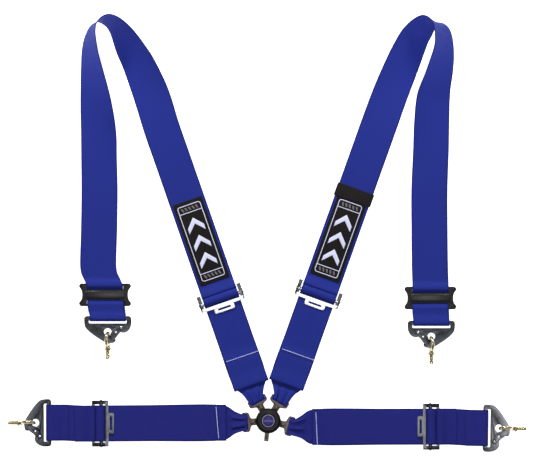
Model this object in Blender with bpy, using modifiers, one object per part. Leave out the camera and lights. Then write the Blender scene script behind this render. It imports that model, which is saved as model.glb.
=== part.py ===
"""Four-point racing harness, laid flat: cam-lock buckle, two shoulder straps, two lap straps.

Frame: metres, +Z up.  The origin is on the buckle's axis, in the plane of its back plate; +X runs
to the wearer's left lap hook seen from the front, +Y from the buckle towards the shoulder straps.
Lengths in the helpers are given in millimetres and turned into metres by the frames.
"""
import bpy
import bmesh
import math
from mathutils import Matrix, Vector

# ---------------------------------------------------------------- driving dimensions (mm, degrees)
WEB_W = 72.5            # 3-inch webbing as woven
WEB_T = 2.0             # webbing thickness
GAP = 0.3               # clearance between touching pieces
Z1 = 1.3                # centre height of the lowest webbing layer
Z2 = 3.8                # centre height of the second layer
GRID = 2.0              # plan grid pitch; the buckle axis is at (268.3, 420.7) on that grid
AX, AY = 268.3, 420.7

BUCKLE_R = 25.2
PLATE_T = 2.5           # tongue plate
TONGUE_Z0 = 6.0         # underside of every tongue
NECK_W = 14.0
TONGUE_W = 39.6
BAR_X0, BAR_X1 = 47.5, 51.5     # the tongue's strap bar, from the buckle axis
ADJ_LIFT = 5.3          # underside of the adjuster plate
ADJ_T = 2.0
LOCK_U, LOCK_Z, LOCK_R = 9.5, 10.7, 4.0
REAR_U = 25.0
LOOP_R = 5.7            # centre-line radius of the webbing loop round a hook bar
HOOK_Z = 7.1
HOOK_T = 3.0
HOOK_PITCH = 12.5       # the hook leans up on its eye bolt
EYE_DROP = 14.0         # the eye bolt's shank leans down to the table
HEM, LAP_HEM = 64.0, 14.0     # folded and stitched end of each free tail

# strap group: tongue angle, adjuster plan position (grid), strap side sign
GROUPS = {
    "shoulder_left": dict(port=119.0, adj=(222.75, 303.3), tail=172.0),
    "shoulder_right": dict(port=60.0, adj=(316.5, 299.65), tail=178.0),
    "lap_left": dict(port=184.0, adj=(106.0, 423.4), tail=240.0),
    "lap_right": dict(port=-14.0, adj=(425.5, 426.6), tail=226.0),
}

# ---------------------------------------------------------------- scene and helpers
for old in list(bpy.data.objects):
    bpy.data.objects.remove(old, do_unlink=True)

scene = bpy.context.scene
parts = bpy.data.collections.new("racing_harness")
cutters = bpy.data.collections.new("cutters")
scene.collection.children.link(parts)
scene.collection.children.link(cutters)


def mm(*v):
    return Vector(v) * 0.001


def plan(gx, gy, z=0.0):
    """Grid position to world metres; z in mm."""
    return mm((gx - AX) * GRID, (AY - gy) * GRID, z)


def frame_at(origin, angle, z=0.0):
    """Local millimetres (u outwards, v to its left, z up) to world metres."""
    return (Matrix.Translation(Vector((origin[0], origin[1], z)))
            @ Matrix.Rotation(math.radians(angle), 4, "Z") @ Matrix.Scale(0.001, 4))


def finish(name, colour, rough, metal, transmission=0.0):
    m = bpy.data.materials.new(name)
    m.use_nodes = True
    b = m.node_tree.nodes["Principled BSDF"]
    b.inputs["Base Color"].default_value = (*colour, 1.0)
    b.inputs["Roughness"].default_value = rough
    b.inputs["Metallic"].default_value = metal
    m.diffuse_color = (*colour, 1.0)
    return m


FINISH = {
    "webbing": ((0.028, 0.040, 0.30), 0.75, 0.0),
    "label": ((0.012, 0.010, 0.010), 0.85, 0.0),
    "black": ((0.012, 0.010, 0.012), 0.35, 0.0),
    "bronze": ((0.10, 0.075, 0.07), 0.3, 1.0),
    "chrome": ((0.72, 0.74, 0.77), 0.12, 1.0),
    "steel": ((0.22, 0.23, 0.25), 0.32, 1.0),
    "zinc": ((0.62, 0.52, 0.25), 0.3, 1.0),
    "badge": ((0.10, 0.08, 0.40), 0.3, 0.0),
    "spring": ((0.45, 0.45, 0.47), 0.3, 1.0),
}


def place(name, mesh, kind, matrix=Matrix()):
    """A named part from a mesh; the mesh's own frame goes to the world by matrix, and stays unit-scaled."""
    mesh = mesh.copy()
    scale = matrix.to_scale()
    mesh.transform(Matrix.Diagonal((*scale, 1.0)))
    obj = bpy.data.objects.new(name, mesh)
    obj.matrix_world = Matrix.Translation(matrix.to_translation()) @ matrix.to_quaternion().to_matrix().to_4x4()
    mesh.name = name
    mesh.materials.clear()
    mesh.materials.append(finish(name, *FINISH[kind]))
    parts.objects.link(obj)
    return obj


def scratch(mesh):
    obj = bpy.data.objects.new("scratch", mesh)
    cutters.objects.link(obj)
    obj.hide_render = True
    obj.display_type = "WIRE"
    return obj


def evaluated(obj):
    bpy.context.view_layer.update()
    graph = bpy.context.evaluated_depsgraph_get()
    mesh = bpy.data.meshes.new_from_object(obj.evaluated_get(graph))
    mesh.transform(obj.matrix_world)
    bm = bmesh.new()
    bm.from_mesh(mesh)
    bmesh.ops.remove_doubles(bm, verts=bm.verts, dist=1e-4)
    bmesh.ops.recalc_face_normals(bm, faces=bm.faces)
    bm.to_mesh(mesh)
    bm.free()
    bpy.data.objects.remove(obj, do_unlink=True)
    return mesh


def boolean(mesh, *tools):
    """Cuts or joins: tools are (operation, mesh) pairs."""
    base = scratch(mesh)
    helpers = []
    for operation, tool in tools:
        helper = scratch(tool)
        helpers.append(helper)
        mod = base.modifiers.new("cut", "BOOLEAN")
        mod.operation = operation
        mod.solver = "EXACT"
        mod.object = helper
    out = evaluated(base)
    for helper in helpers:
        bpy.data.objects.remove(helper, do_unlink=True)
    return out


def box(lo, hi, bevel=0.0):
    bm = bmesh.new()
    bmesh.ops.create_cube(bm, size=1.0)
    for v in bm.verts:
        v.co = Vector([lo[i] + (v.co[i] + 0.5) * (hi[i] - lo[i]) for i in range(3)])
    if bevel:
        bmesh.ops.bevel(bm, geom=bm.edges[:], offset=bevel, segments=1, affect="EDGES")
    mesh = bpy.data.meshes.new("box")
    bm.to_mesh(mesh)
    bm.free()
    return mesh


def rod(p0, p1, r, sides=16, r2=None):
    """Cylinder or cone between two points."""
    p0, p1 = Vector(p0), Vector(p1)
    bm = bmesh.new()
    bmesh.ops.create_cone(bm, cap_ends=True, segments=sides, radius1=r,
                          radius2=r if r2 is None else r2, depth=(p1 - p0).length)
    turn = (p1 - p0).to_track_quat("Z", "Y").to_matrix().to_4x4()
    bmesh.ops.transform(bm, matrix=Matrix.Translation((p0 + p1) / 2) @ turn, verts=bm.verts)
    mesh = bpy.data.meshes.new("rod")
    bm.to_mesh(mesh)
    bm.free()
    return mesh


def torus(centre, axis_turn, major, minor, n_major=18, n_minor=6):
    bpy.ops.mesh.primitive_torus_add(major_radius=major, minor_radius=minor,
                                     major_segments=n_major, minor_segments=n_minor,
                                     location=(0, 0, 0))
    obj = bpy.context.object
    mesh = obj.data.copy()
    bpy.data.objects.remove(obj, do_unlink=True)
    mesh.transform(Matrix.Translation(centre) @ axis_turn)
    return mesh


def turned(profile, steps=32):
    """Solid of revolution about Z; the profile runs from the top of the axis, out and down, back to the axis."""
    mesh = bpy.data.meshes.new("turned")
    mesh.from_pydata([(r, 0.0, z) for r, z in profile], [(i, i + 1) for i in range(len(profile) - 1)], [])
    obj = scratch(mesh)
    mod = obj.modifiers.new("screw", "SCREW")
    mod.steps = mod.render_steps = steps
    mod.use_merge_vertices = True
    mod.merge_threshold = 0.0001
    return evaluated(obj)


def plate(loops, z0, z1):
    """Flat plate from closed outlines; inner outlines are holes."""
    curve = bpy.data.curves.new("outline", "CURVE")
    curve.dimensions = "2D"
    curve.fill_mode = "BOTH"
    curve.extrude = (z1 - z0) / 2
    for loop in loops:
        spline = curve.splines.new("POLY")
        spline.points.add(len(loop) - 1)
        for point, (x, y) in zip(spline.points, loop):
            point.co = (x, y, 0, 1)
        spline.use_cyclic_u = True
    obj = bpy.data.objects.new("outline", curve)
    cutters.objects.link(obj)
    obj.location.z = (z0 + z1) / 2
    return evaluated(obj)


def arc(cx, cy, r, a0, a1, n):
    return [(cx + r * math.cos(math.radians(a0 + (a1 - a0) * i / n)),
             cy + r * math.sin(math.radians(a0 + (a1 - a0) * i / n))) for i in range(n + 1)]


def rounded(x0, y0, x1, y1, r, n=3):
    return (arc(x1 - r, y1 - r, r, 0, 90, n) + arc(x0 + r, y1 - r, r, 90, 180, n)
            + arc(x0 + r, y0 + r, r, 180, 270, n) + arc(x1 - r, y0 + r, r, 270, 360, n))


def ribbon(name, edges, kind="webbing", thick=WEB_T):
    """Strap: a strip laid along pairs of edge points (metres), given its thickness by Solidify."""
    n = len(edges)
    bm = bmesh.new()
    bmesh.ops.create_grid(bm, x_segments=n - 1, y_segments=1, size=0.5)
    for v in bm.verts:
        i = round((v.co.x + 0.5) * (n - 1))
        v.co = edges[i][0 if v.co.y > 0 else 1]
    mesh = bpy.data.meshes.new(name)
    bm.to_mesh(mesh)
    bm.free()
    obj = bpy.data.objects.new(name, mesh)
    mesh.materials.append(finish(name, *FINISH[kind]))
    parts.objects.link(obj)
    mod = obj.modifiers.new("thickness", "SOLIDIFY")
    mod.thickness = thick * 0.001
    mod.offset = 0.0
    mod.use_even_offset = True
    return obj


def across(frame, u, z, w=WEB_W):
    return (frame @ Vector((u, w / 2, z)), frame @ Vector((u, -w / 2, z)))


def bend(cu, cz, r, a0, a1, n):
    """Side-view points (u, z) round a bar."""
    return [(cu + r * math.cos(math.radians(a0 + (a1 - a0) * i / n)),
             cz + r * math.sin(math.radians(a0 + (a1 - a0) * i / n))) for i in range(n + 1)]


# ---------------------------------------------------------------- buckle (buckle axis = Z)
SCREWS = [(21.4, a) for a in (89.5, 225.0, 305.0)]


def polar(r, a):
    return (r * math.cos(math.radians(a)), r * math.sin(math.radians(a)))


buckle = frame_at((0, 0), 0)
base = turned([(0, 2.5), (24.2, 2.5), (24.8, 1.9), (24.8, 0.0), (0, 0.0)])
base = boolean(base, *[("DIFFERENCE", rod((*polar(*s), -1), (*polar(*s), 4), 1.9, 10)) for s in SCREWS])
place("buckle_base", base, "steel", buckle)

housing = turned([(5.6, 15.0), (23.4, 15.0), (24.6, 13.8), (24.6, 2.8), (19.2, 2.8), (19.2, 12.8), (5.6, 12.8), (5.6, 15.0)])
tools = []
for g in GROUPS.values():
    port = box((10, -NECK_W / 2 - 0.5, TONGUE_Z0 - 0.5), (30, NECK_W / 2 + 0.5, TONGUE_Z0 + PLATE_T + 0.5))
    port.transform(Matrix.Rotation(math.radians(g["port"]), 4, "Z"))
    tools.append(("DIFFERENCE", port))
tools += [("DIFFERENCE", rod((*polar(*s), 2), (*polar(*s), 11), 1.5, 10)) for s in SCREWS]
housing = boolean(housing, *tools)
place("buckle_housing", housing, "black", buckle)

pivot = turned([(0, 14.6), (3.0, 14.6), (3.0, 4.4), (5.0, 4.4), (5.0, 2.8), (0, 2.8)], 20)
place("buckle_pivot", pivot, "steel", buckle)

cam = turned([(0, 19.6), (4.8, 19.6), (4.8, 12.2), (12.0, 12.2), (12.0, 10.0), (3.3, 10.0), (3.3, 15.0), (0, 15.0)], 28)
place("cam_plate", cam, "steel", buckle)

cap = turned([(0, 24.0), (13.0, 24.0), (13.0, 26.0), (19.5, 26.0), (23.6, 24.4), (25.2, 21.0), (25.2, 15.4),
              (23.0, 15.4), (23.0, 20.2), (0, 20.2)], 36)
lever_cut = box((18, -4.9, 15), (30, 4.9, 20.0))
lever_cut.transform(Matrix.Rotation(math.radians(264.0), 4, "Z"))
cap = boolean(cap, ("DIFFERENCE", lever_cut), ("DIFFERENCE", box((-30, 15.6, 24.6), (30, 30, 30))))
place("release_cap", cap, "black", buckle)

lever = plate([rounded(6.5, -4.3, 41.0, 4.3, 2.5)], 15.8, 19.6)
lever = boolean(lever, ("DIFFERENCE", rod((0, 0, 10), (0, 0, 30), 7.5)))
lever.transform(Matrix.Rotation(math.radians(264.0), 4, "Z"))
place("release_lever", lever, "bronze", buckle)

badge = turned([(0, 25.6), (10.0, 25.6), (10.4, 26.4), (12.2, 26.4), (12.5, 25.8), (12.5, 24.3), (0, 24.3)], 40)
place("badge", badge, "badge", buckle)

# leaf spring under the tongues, with one upturned finger for each of the three releasing tongues
leaf = turned([(7.0, 3.7), (14.0, 3.7), (14.0, 2.9), (7.0, 2.9), (7.0, 3.7)], 30)
fingers = []
for key in ("shoulder_left", "shoulder_right", "lap_right"):
    for lo, hi in (((12.3, -2.6, 3.0), (17.4, 2.6, 3.6)), ((16.7, -2.5, 3.1), (17.3, 2.5, 7.9))):
        finger = box(lo, hi)
        finger.transform(Matrix.Rotation(math.radians(GROUPS[key]["port"]), 4, "Z"))
        fingers.append(("UNION", finger))
place("latch_spring", boolean(leaf, *fingers), "spring", buckle)

# return spring: a light coil round the pivot, between the pivot's flange and the cam plate
coil = bpy.data.curves.new("coil", "CURVE")
coil.dimensions = "3D"
coil.bevel_depth = 0.45
coil.bevel_resolution = 1
coil.use_fill_caps = True
spline = coil.splines.new("POLY")
TURNS, PER = 2.5, 10
spline.points.add(int(TURNS * PER))
for i, point in enumerate(spline.points):
    a = 2 * math.pi * i / PER
    point.co = (4.3 * math.cos(a), 4.3 * math.sin(a), 5.1 + (9.3 - 5.1) * i / (TURNS * PER), 1)
coil_obj = bpy.data.objects.new("coil", coil)
cutters.objects.link(coil_obj)
place("return_spring", evaluated(coil_obj), "spring", buckle)

# three screws from the back, and the rivet that keeps the left lap tongue in for good
for i, s in enumerate(SCREWS):
    place(f"buckle_screw_{i + 1}", rod((*polar(*s), 0.3), (*polar(*s), 10.5), 1.2, 10), "steel", buckle)
rx, ry = polar(17.2, GROUPS["lap_left"]["port"])
place("tongue_rivet", rod((rx, ry, 2.8), (rx, ry, 12.4), 1.7, 12), "steel", buckle)

# ---------------------------------------------------------------- tongues (u from the buckle axis outwards)
HW = TONGUE_W / 2
tongue_outline = ([(13.4, -3.6), (17.0, -NECK_W / 2), (31.5, -NECK_W / 2)] + arc(31.5, -NECK_W / 2 - 4, 4, 90, 30, 3)[1:]
                  + [(36.2, -13.0), (38.4, -18.0), (41.0, -HW), (BAR_X1 - 2, -HW), (BAR_X1, -HW + 2)])
tongue_outline = tongue_outline + [(x, -y) for x, y in reversed(tongue_outline)]
tongue = plate([tongue_outline, rounded(15.4, -3.2, 19.4, 3.2, 0.8, 2), rounded(40.2, -17.0, BAR_X0, 17.0, 1.5, 2)],
               TONGUE_Z0, TONGUE_Z0 + PLATE_T)
ZC = TONGUE_Z0 + PLATE_T / 2

# ---------------------------------------------------------------- adjuster (u = 0 on its front bar)
body_plate = plate([rounded(-5.0, -46.0, 28.0, 46.0, 3.0), rounded(1.0, -38.2, 22.0, 38.2, 1.5, 2)],
                   ADJ_LIFT, ADJ_LIFT + ADJ_T)
tab = plate([rounded(-16.0, -21.0, -4.0, 21.0, 3.5), rounded(-11.5, -13.5, -7.5, 13.5, 1.9, 3)],
            ADJ_LIFT, ADJ_LIFT + ADJ_T)
adj_tools = [("UNION", tab)]
for s in (-1, 1):
    wall = plate([arc(9.5, 12.5, 6, 0, 180, 8) + [(-5.0, 6.0), (28.0, 6.0)]], -1.0, 1.0)
    wall.transform(Matrix.Translation((0, s * 45.0, 0)) @ Matrix.Rotation(math.radians(90), 4, "X"))
    adj_tools.append(("UNION", wall))
adj_tools.append(("DIFFERENCE", rod((LOCK_U, -60, LOCK_Z + 0.8), (LOCK_U, 60, LOCK_Z + 0.8), 2.3, 14)))
adjuster = boolean(body_plate, *adj_tools)
lock_bar = turned([(0, 47.6), (1.6, 47.6), (2.0, 47.2), (2.0, 43.7), (3.4, 43.7), (3.9, 43.2), (3.9, -43.2),
                   (3.4, -43.7), (2.0, -43.7), (2.0, -47.2), (1.6, -47.6), (0, -47.6)], 12)
lock_bar.transform(Matrix.Translation((LOCK_U, 0, LOCK_Z + 0.8)) @ Matrix.Rotation(math.radians(90), 4, "X"))

# ---------------------------------------------------------------- snap hook (u = 0 on its strap bar), gate and eye bolt
hook_outline = [(-4.0, 41.5)] + arc(2, 41.3, 6, 180, 90, 3)[1:] + [(12, 47.3), (20, 45.0), (26.5, 40.0), (29.5, 33.5),
                (29.0, 27.0), (25.5, 21.0)] + arc(28.0, 0.0, 7.6, 115, 395, 16) + [(40.0, 10.5), (42.5, 15.0), (46.5, 15.6),
                (50.0, 12.0), (51.0, 4.0), (49.5, -4.5), (43.0, -15.5), (33.0, -30.0), (23.0, -41.5), (16.0, -46.0)] \
    + arc(2, -41.3, 6, 270, 180, 3)
hook = plate([hook_outline, rounded(4.2, -38.0, 11.2, 38.0, 2.5, 3)], -HOOK_T / 2, HOOK_T / 2)
GATE_U, GATE_V = 20.0, 27.0
gate_outline = arc(GATE_U, GATE_V, 4.6, 45, 225, 6) + [(24.0, 14.0), (38.0, 7.4), (44.5, 8.6), (45.0, 13.0), (33.0, 22.0)]
gate = plate([gate_outline, arc(29.0, 16.5, 1.6, 0, 330, 11)], HOOK_T / 2 + 0.3, HOOK_T / 2 + 1.7)
hook = boolean(hook, ("DIFFERENCE", rod((GATE_U, GATE_V, -5), (GATE_U, GATE_V, 5), 1.9, 14)))
gate = boolean(gate, ("UNION", rod((GATE_U, GATE_V, -HOOK_T / 2 - 0.6), (GATE_U, GATE_V, HOOK_T / 2 + 2.6), 1.55, 14)),
               ("UNION", rod((GATE_U, GATE_V, HOOK_T / 2 + 1.0), (GATE_U, GATE_V, HOOK_T / 2 + 2.7), 3.0, 14)))

EYE_U, EYE_R, EYE_WIRE = 43.2, 12.3, 3.4
eye = torus((0, 0, 0), Matrix.Rotation(math.radians(90), 4, "X"), EYE_R, EYE_WIRE)
eye = boolean(eye, ("UNION", rod((EYE_R + 1.5, 0, 0), (EYE_R + 10.5, 0, 0), 4.6, 14)),
              ("UNION", rod((EYE_R + 5.5, 0, 0), (EYE_R + 9.0, 0, 0), 7.0, 20)),
              ("UNION", rod((EYE_R + 7, 0, 0), (EYE_R + 28.5, 0, 0), 4.4, 14)))

# ---------------------------------------------------------------- slider (u = 0 on its centre bar)
slider_half = [(0.0, 48.6), (6.0, 49.0), (14.0, 51.4), (21.0, 52.6), (23.4, 50.5), (23.4, 44.0), (23.4, 0.0)]
slider_outline = [(u, v) for u, v in slider_half] + [(u, -v) for u, v in reversed(slider_half[:-1])] \
    + [(-u, -v) for u, v in slider_half[1:]] + [(-u, v) for u, v in reversed(slider_half[1:-1])]
slider = plate([slider_outline, rounded(10.0, -39.0, 18.0, 39.0, 2.0, 2), rounded(-18.0, -39.0, -10.0, 39.0, 2.0, 2)],
               5.2, 8.2)

# ---------------------------------------------------------------- the straps
HOOKS = {   # centre of the hook's strap bar (grid) and its outward direction; slider centre on shoulder straps
    "shoulder_left": ((107.8, 318.1), -90.0, (105.1, 294.8), 1),
    "shoulder_right": ((431.3, 322.7), -90.0, (430.3, 298.0), -1),
    "lap_left": ((49.3, 422.6), 180.2, None, 1),
    "lap_right": ((485.0, 428.0), -0.8, None, -1),
}
LEFT_LOOP = [   # (outer edge x, y, z), (inner edge x, y, z) on the plan grid, heights in mm
    ((134, 100, 5), (168, 88, 12)), ((123, 68, 6), (153, 57, 38)), ((117, 54, 8), (145, 45, 49)),
    ((113, 42, 11), (136, 33, 64)), ((110, 33, 14), (127, 23.5, 75)), ((107, 28, 16), (118, 17, 81)),
    ((103, 24.5, 18), (109, 14.5, 87)), ((98.5, 22.5, 18), (101, 18, 90)), ((94, 23.5, 16), (97.2, 23.5, 88)),
    ((89, 28, 12), (96, 30, 83)), ((84.5, 38, 8), (96.5, 39, 76)), ((82, 50, 5), (98.5, 51, 69)),
    ((81, 68, 3), (103, 68, 60)), ((80.5, 90, 2), (109, 90, 47)), ((80.5, 110, 2), (113.5, 111, 31)),
    ((81, 132, 2), (116.5, 134, 14)), ((81.2, 158, 2.5), (117, 160, 4)), ((81.5, 190, 3), (117.7, 190, 3)),
    ((81.0, 230, 3.8), (117.2, 230, 3.8)), ((85.0, 262, 3.8), (121.2, 262, 3.8))]
RIGHT_LOOP = [
    ((407, 100, 5), (373.5, 88, 12)), ((419, 68, 6), (387, 57, 32)), ((424, 54, 8), (393, 45, 41)),
    ((428.5, 42, 11), (400.5, 32, 52)), ((431.5, 36.5, 14), (408, 23.5, 62)), ((433.5, 32, 16), (416, 17.5, 72)),
    ((435, 28.5, 18), (423, 15.5, 81)), ((437, 25, 18), (428.5, 18, 87)), ((440, 23, 17), (432, 22.5, 88)),
    ((445, 24.5, 14), (433.8, 28, 82)), ((449.5, 29, 10), (434.5, 35, 75)), ((452.5, 38, 6), (434, 45, 67)),
    ((454, 54, 4), (430.5, 57, 59)), ((453, 72, 2), (424.5, 74, 46)), ((450.3, 92, 2), (417, 94, 31)),
    ((449.3, 120, 2), (414, 122, 14)), ((448.8, 150, 2.5), (413, 150, 4)), ((447.5, 190, 3), (411.3, 190, 3)),
    ((447.6, 230, 3.8), (411.4, 230, 3.8)), ((449.0, 265, 3.8), (412.8, 265, 3.8))]


def hook_set(side, bar, angle, sign):
    """Hook, gate and eye bolt, leaning up from the bar; sign -1 mirrors them across the strap."""
    flip = Matrix.Diagonal((1, sign, 1, 1))
    lean = frame_at(bar, angle, HOOK_Z * 0.001) @ Matrix.Rotation(math.radians(-HOOK_PITCH), 4, "Y")
    for label, mesh in (("hook", hook), ("gate", gate)):
        shape = mesh.copy()
        if sign < 0:
            shape.transform(flip)
            shape.flip_normals()
        place(f"{label}_{side}", shape, "steel", lean)
    bolt = lean @ Matrix.Translation((EYE_U, 0, 0)) @ Matrix.Rotation(math.radians(HOOK_PITCH + EYE_DROP), 4, "Y")
    place(f"eye_bolt_{side}", eye, "zinc", bolt)


for side, g in GROUPS.items():
    port = frame_at((0, 0), g["port"])
    place(f"tongue_{side}", tongue, "bronze", port)
    bar_pt = port @ Vector((BAR_X1, 0, 0))
    adj_pt = plan(*g["adj"])
    run = adj_pt - bar_pt
    angle = math.degrees(math.atan2(run.y, run.x))
    adj = frame_at(adj_pt, angle)
    reach = run.length * 1000                      # tongue bar to the adjuster's front bar, mm
    near = lambda u: u - reach                     # distance from the tongue bar -> adjuster frame

    # under strap: sewn round the tongue's bar, then flat to the adjuster
    bx = (BAR_X0 + BAR_X1) / 2
    edges = [across(adj, near(50), Z2, WEB_W), across(adj, near(26), Z2 + 0.3, 59), across(adj, near(15), Z2 + 3.2, 44)]
    edges += [across(port, bx + 2.2, ZC + 2.8, 33.0)]
    edges += [across(port, u, z, 32.4) for u, z in bend(bx - 2.0, ZC, 2.75, 90, 270, 6)]
    edges += [across(port, bx + 2.2, ZC - 2.8, 33.0), across(adj, near(16), 2.2, 45), across(adj, near(31), Z1, 66),
              across(adj, near(50), Z1), across(adj, 9.0, Z1)]
    ribbon(f"strap_under_{side}", edges)

    # free tail: from the under strap up over the lock bar, back under the tab, over the under strap
    lz = LOCK_Z + 0.8
    start = -g["tail"]
    hem_len = HEM if side.startswith("shoulder") else LAP_HEM
    edges = [across(adj, 9.8, Z1), across(adj, 13.2, 2.2), across(adj, 15.2, 5.0)]
    edges += [across(adj, u, z) for u, z in bend(LOCK_U, lz, 5.3, -8, 180, 9)]
    edges += [across(adj, 4.1, 7.8), across(adj, 3.0, 5.3), across(adj, 1.0, 3.95), across(adj, -4.0, Z2),
              across(adj, start + hem_len + 18, Z2), across(adj, start + hem_len + 0.5, 7.2)]
    ribbon(f"tail_{side}", edges)
    hem = [across(adj, start + hem_len, 7.2), across(adj, start + hem_len - 6, 7.4), across(adj, start, 7.4)]
    ribbon(f"tail_end_{side}", hem, thick=3.6)

    place(f"adjuster_{side}", adjuster, "chrome", adj)
    place(f"lock_bar_{side}", lock_bar, "chrome", adj)

    grid_bar, out, slide_at, sign = HOOKS[side]
    bar = plan(*grid_bar)
    hook_set(side, bar, out, sign)
    rear_z = ADJ_LIFT + ADJ_T / 2
    if slide_at is None:
        # outer lap strap: a sewn loop from the adjuster's rear bar to the hook's bar
        out_frame = frame_at(bar, out)
        edges = [across(adj, 55.0, 3.9), across(adj, 42.0, 5.6), across(adj, 32, 9.2)]
        edges += [across(adj, u, z) for u, z in bend(REAR_U, rear_z, 4.6, 75, 285, 10)]
        edges += [across(adj, 33, Z1)]
        edges += [across(out_frame, -14, Z1)]
        edges += [across(out_frame, u, z) for u, z in bend(0, HOOK_Z, LOOP_R, -90, 90, 9)]
        edges += [across(out_frame, -12, 9.2), across(out_frame, -26, 3.9)]
        last = (adj.inverted() @ (out_frame @ Vector((-26, 0, 0)))).x
        if last > 57:
            edges += [across(adj, 56.0, 3.9)]
        ribbon(f"outer_strap_{side}", edges)
        continue

    # upper shoulder strap: sewn round the adjuster's rear bar, up, round the loop and down to the slider
    loop = LEFT_LOOP if side == "shoulder_left" else RIGHT_LOOP
    edges = [across(adj, 80.0, Z1), across(adj, 33.0, Z1)]
    edges += [across(adj, u, z) for u, z in reversed(bend(REAR_U, rear_z, 4.6, 75, 285, 10))]
    edges += [across(adj, 32.5, 8.4), across(adj, 38.0, 5.3), across(adj, 44.0, Z2), across(adj, 320.0, Z2),
              across(adj, 370.0, Z2 + 0.4)]
    flip = (lambda a, b: (a, b)) if side == "shoulder_left" else (lambda a, b: (b, a))
    loop_edges = [flip(plan(*a), plan(*b)) for a, b in loop]
    mid = 0.5 * (loop_edges[0][0] + loop_edges[0][1])
    edges += loop_edges[:-1]
    out_frame = frame_at(plan(*slide_at), out)
    # the last stretch is square to the slider
    sgn = 1 if side == "shoulder_left" else 1
    last_pair = across(out_frame, -44.0, Z2)
    a, b = last_pair
    if (edges[-1][0] - a).length > (edges[-1][0] - b).length:
        a, b = b, a
    edges += [(a, b)]
    ribbon(f"upper_strap_{side}", edges)

    place(f"slider_{side}", slider, "black", out_frame)
    hook_u = (bar - plan(*slide_at)).length * 1000
    hf = frame_at(bar, out)
    edges = [across(out_frame, u, z) for u, z in
             ((-43.4, Z2), (-32, Z2), (-27.2, 6.2), (-25.4, 8.9), (-22.5, 9.8), (-17.5, 9.8), (-14, 6.8), (-10.5, 3.9),
              (-8, Z2), (8, Z2), (10.5, 3.9), (14, 6.8), (17.5, 9.8), (22.5, 9.8), (26.0, 9.6))]
    edges += [across(hf, u, z) for u, z in ((-12, 9.6), (-5, HOOK_Z + LOOP_R - 0.6))]
    edges += [across(hf, u, z) for u, z in bend(0, HOOK_Z, LOOP_R, 90, -90, 9)]
    edges += [across(out_frame, -70, Z1)]
    ribbon(f"strap_end_{side}", edges)

    # black patch sewn along the upper strap
    lo, hi = (46.0, 217.0) if side == "shoulder_left" else (46.0, 209.2)
    pad = box((lo, -30.5, Z2 + WEB_T / 2 + GAP), (hi, 30.5, Z2 + WEB_T / 2 + GAP + 1.4))
    place(f"patch_{side}", pad, "label", adj)
    if side == "shoulder_right":
        outer = box((209.5, -38.6, 0.4), (236.0, 38.6, 7.2), 0.8)
        keeper = boolean(outer, ("DIFFERENCE", box((200, -37.1, 2.0), (250, 37.1, 5.6))))
        place("keeper_band", keeper, "label", adj)

# round and turned pieces are shaded smooth, with their edges kept
for obj in parts.objects:
    if obj.type == "MESH" and len(obj.data.polygons) > 12:
        obj.data.shade_smooth()
        obj.data.set_sharp_from_angle(angle=math.radians(32))
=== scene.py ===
import math
import random
import bpy
import bmesh
from mathutils import Matrix, Vector, noise


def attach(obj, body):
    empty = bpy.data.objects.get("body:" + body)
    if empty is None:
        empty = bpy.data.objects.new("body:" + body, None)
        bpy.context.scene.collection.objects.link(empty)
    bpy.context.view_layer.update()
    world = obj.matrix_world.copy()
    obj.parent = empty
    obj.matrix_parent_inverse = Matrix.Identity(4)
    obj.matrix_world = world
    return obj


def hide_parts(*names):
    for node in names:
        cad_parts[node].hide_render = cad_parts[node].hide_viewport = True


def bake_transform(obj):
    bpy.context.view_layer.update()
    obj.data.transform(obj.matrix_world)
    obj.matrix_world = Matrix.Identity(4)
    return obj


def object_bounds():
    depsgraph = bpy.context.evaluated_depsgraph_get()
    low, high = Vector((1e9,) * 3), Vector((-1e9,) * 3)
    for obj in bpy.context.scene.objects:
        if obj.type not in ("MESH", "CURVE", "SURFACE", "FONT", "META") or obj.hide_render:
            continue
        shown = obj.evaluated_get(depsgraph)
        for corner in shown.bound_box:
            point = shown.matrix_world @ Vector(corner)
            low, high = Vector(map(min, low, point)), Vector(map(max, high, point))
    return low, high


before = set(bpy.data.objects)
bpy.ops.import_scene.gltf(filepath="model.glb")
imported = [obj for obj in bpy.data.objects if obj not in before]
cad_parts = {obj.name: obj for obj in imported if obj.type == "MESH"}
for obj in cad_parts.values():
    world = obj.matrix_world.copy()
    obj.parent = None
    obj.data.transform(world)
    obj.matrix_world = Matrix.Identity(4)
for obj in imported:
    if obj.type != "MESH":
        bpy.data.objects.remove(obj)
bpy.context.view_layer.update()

random.seed(7)
WEB_W, WEB_T, Z1, Z2 = 72.5, 2.0, 1.3, 3.8
GRID, AX, AY = 2.0, 268.3, 420.7
PLATE_T, TONGUE_Z0, NECK_W, TONGUE_W = 2.5, 6.0, 14.0, 39.6
BAR_X0, BAR_X1 = 47.5, 51.5
ADJ_LIFT, ADJ_T = 5.3, 2.0
LOCK_U, LOCK_Z, REAR_U = 9.5, 11.5, 25.0
LOOP_R, HOOK_Z, HOOK_T, HOOK_PITCH, EYE_DROP = 5.7, 7.1, 3.0, 12.5, 14.0
HEM, LAP_HEM = 64.0, 14.0
GROUPS = {
    "shoulder_left": dict(port=119.0, adj=(222.75, 303.3), tail=172.0),
    "shoulder_right": dict(port=60.0, adj=(316.5, 299.65), tail=178.0),
    "lap_left": dict(port=184.0, adj=(106.0, 423.4), tail=240.0),
    "lap_right": dict(port=-14.0, adj=(425.5, 426.6), tail=226.0),
}
HOOKS = {
    "shoulder_left": ((107.8, 318.1), -90.0, (105.1, 294.8), 1),
    "shoulder_right": ((431.3, 322.7), -90.0, (430.3, 298.0), -1),
    "lap_left": ((49.3, 422.6), 180.2, None, 1),
    "lap_right": ((485.0, 428.0), -0.8, None, -1),
}
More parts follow.
